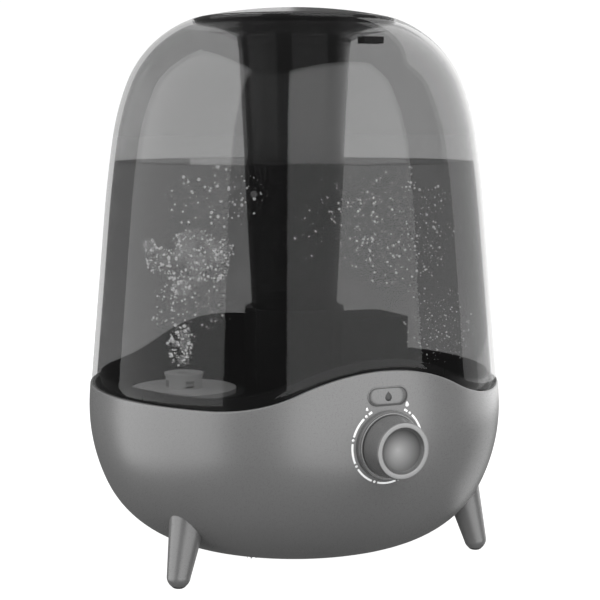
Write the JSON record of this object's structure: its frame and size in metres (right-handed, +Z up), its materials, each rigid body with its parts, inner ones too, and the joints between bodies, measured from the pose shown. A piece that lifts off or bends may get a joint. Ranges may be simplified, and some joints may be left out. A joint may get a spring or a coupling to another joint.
{
  "type": "cool mist humidifier",
  "caption": "Ultrasonic cool mist humidifier: grey bowl base on splayed legs, wavy rim, smoke-clear lift-off tank with a central mist chimney, and a front control knob.",
  "frame": {"origin": "on the ground under the vertical axis of bowl and tank", "axes": "+Z up; -Y is the front, out of the control knob; +X to the right seen from the front"},
  "size_m": [0.2254, 0.2427, 0.2959],
  "materials": {
    "shell_grey": "satin moulded",
    "badge_plate": "satin",
    "rubber_black": "matte",
    "screw_steel": "turned",
    "cover_grey": "fine texture",
    "filter_foam": "open foam",
    "deck_black": "gloss moulded",
    "transducer_metal": "satin",
    "float_white": "satin",
    "part_black": "fine texture",
    "board_green": "solder mask",
    "heatsink_aluminium": "extruded",
    "standoff_brass": "turned",
    "tank_smoke": "polished smoke-clear",
    "cap_pale": "satin",
    "cover_black": "gloss moulded"
  },
  "bodies": {
    "base": {"base_shell": "shell_grey", "leg_front_left": "shell_grey", "foot_pad_front_left": "rubber_black", "leg_front_right": "shell_grey", "foot_pad_front_right": "rubber_black", "leg_rear": "shell_grey", "foot_pad_rear": "rubber_black", "leg_screws": "screw_steel", "bottom_cover": "cover_grey", "cover_screws": "screw_steel", "intake_filter": "filter_foam", "base_deck": "deck_black", "air_tower": "deck_black", "deck_screws": "screw_steel", "splash_guard": "deck_black", "transducer_disc": "transducer_metal", "transducer_gasket": "rubber_black", "transducer_clamp": "transducer_metal", "transducer_screws": "screw_steel", "float_clip": "float_white", "float_sensor": "part_black", "fan_frame": "part_black", "fan_screws": "screw_steel", "air_duct": "deck_black", "driver_board": "board_green", "board_heatsink": "heatsink_aluminium", "board_capacitor": "part_black", "board_transformer": "part_black", "board_standoffs": "standoff_brass", "board_screws": "screw_steel", "cord_gland": "rubber_black", "knob_bezel": "shell_grey", "potentiometer": "part_black", "potentiometer_nut": "screw_steel", "badge": "badge_plate"},
    "knob": {"knob": "shell_grey", "potentiometer_shaft": "screw_steel"},
    "fan": {"fan_impeller": "part_black"},
    "float": {"float_ring": "float_white"},
    "tank": {"tank_shell": "tank_smoke", "tank_pan": "deck_black", "mist_housing": "deck_black", "chimney_tube": "tank_smoke", "cover_catch": "deck_black"},
    "cap": {"tank_cap": "cap_pale", "cap_gasket": "rubber_black"},
    "valve": {"valve_plunger": "cap_pale", "valve_seal": "rubber_black", "valve_spring": "screw_steel"},
    "cover": {"mist_cover": "cover_black", "mist_funnel": "cover_black"}
  },
  "joints": [
    {"name": "knob_turn", "type": "hinge", "parent": "base", "child": "knob", "pos_m": [0, -0.1127, 0.078], "axis": [0, 1, 0], "range_deg": [0, 300]},
    {"name": "fan_spin", "type": "hinge", "parent": "base", "child": "fan", "pos_m": [0.052, 0, 0.05], "axis": [0, 0, 1], "continuous": true},
    {"name": "float_rise", "type": "slide", "parent": "base", "child": "float", "axis": [0, 0, 1], "range_m": [0, 0.006]},
    {"name": "tank_lift", "type": "slide", "parent": "base", "child": "tank", "axis": [0, 0, 1], "range_m": [0, 0.12]},
    {"name": "cap_turn", "type": "hinge", "parent": "tank", "child": "cap", "pos_m": [-0.065, 0, 0.09], "axis": [0, 0, 1], "range_deg": [0, 60]},
    {"name": "valve_slide", "type": "slide", "parent": "cap", "child": "valve", "axis": [0, 0, 1], "range_m": [-0.004, 0], "deforming": ["valve_spring"]},
    {"name": "cover_lift", "type": "slide", "parent": "tank", "child": "cover", "axis": [0, 0, 1], "range_m": [0, 0.04]}
  ],
  "couplings": [
    {"joint": "valve_slide", "follows": "tank_lift", "ratio": -0.033333}
  ]
}
